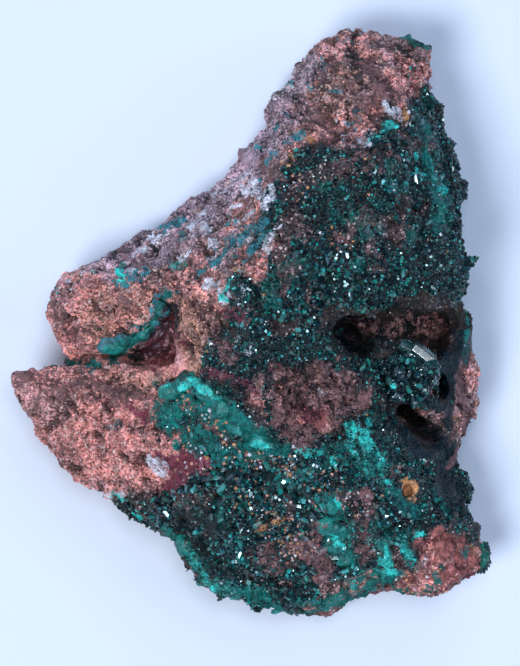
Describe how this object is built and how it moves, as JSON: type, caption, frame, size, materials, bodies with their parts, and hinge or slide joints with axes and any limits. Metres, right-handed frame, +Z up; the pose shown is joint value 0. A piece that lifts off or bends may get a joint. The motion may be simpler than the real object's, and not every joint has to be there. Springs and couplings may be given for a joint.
{
  "type": "mineral specimen",
  "caption": "Dioptase on matrix: brown vuggy host rock with a deep hollow and a cleft, a dark green crystal druse over its top, and rounded blue-green chrysocolla growths.",
  "frame": {"origin": "on the flat underside's plane, under the middle of the specimen's box", "axes": "+Z up from the face it rests on, which is also its shortest extent; +Y along its length, towards the narrow brown end; +X towards the side with the deep hollow"},
  "size_m": [0.0804, 0.101, 0.0456],
  "materials": {
    "iron_stained_rock": "matte",
    "dioptase": "gloss",
    "chrysocolla": "satin"
  },
  "bodies": {
    "root": {"matrix_rock": "iron_stained_rock", "dioptase_druse": "dioptase", "hollow_crystals": "dioptase", "chrysocolla_lobe": "chrysocolla", "chrysocolla_tongue": "chrysocolla", "chrysocolla_rim": "chrysocolla", "chrysocolla_seam": "chrysocolla", "malachite_knob": "chrysocolla"}
  },
  "joints": []
}
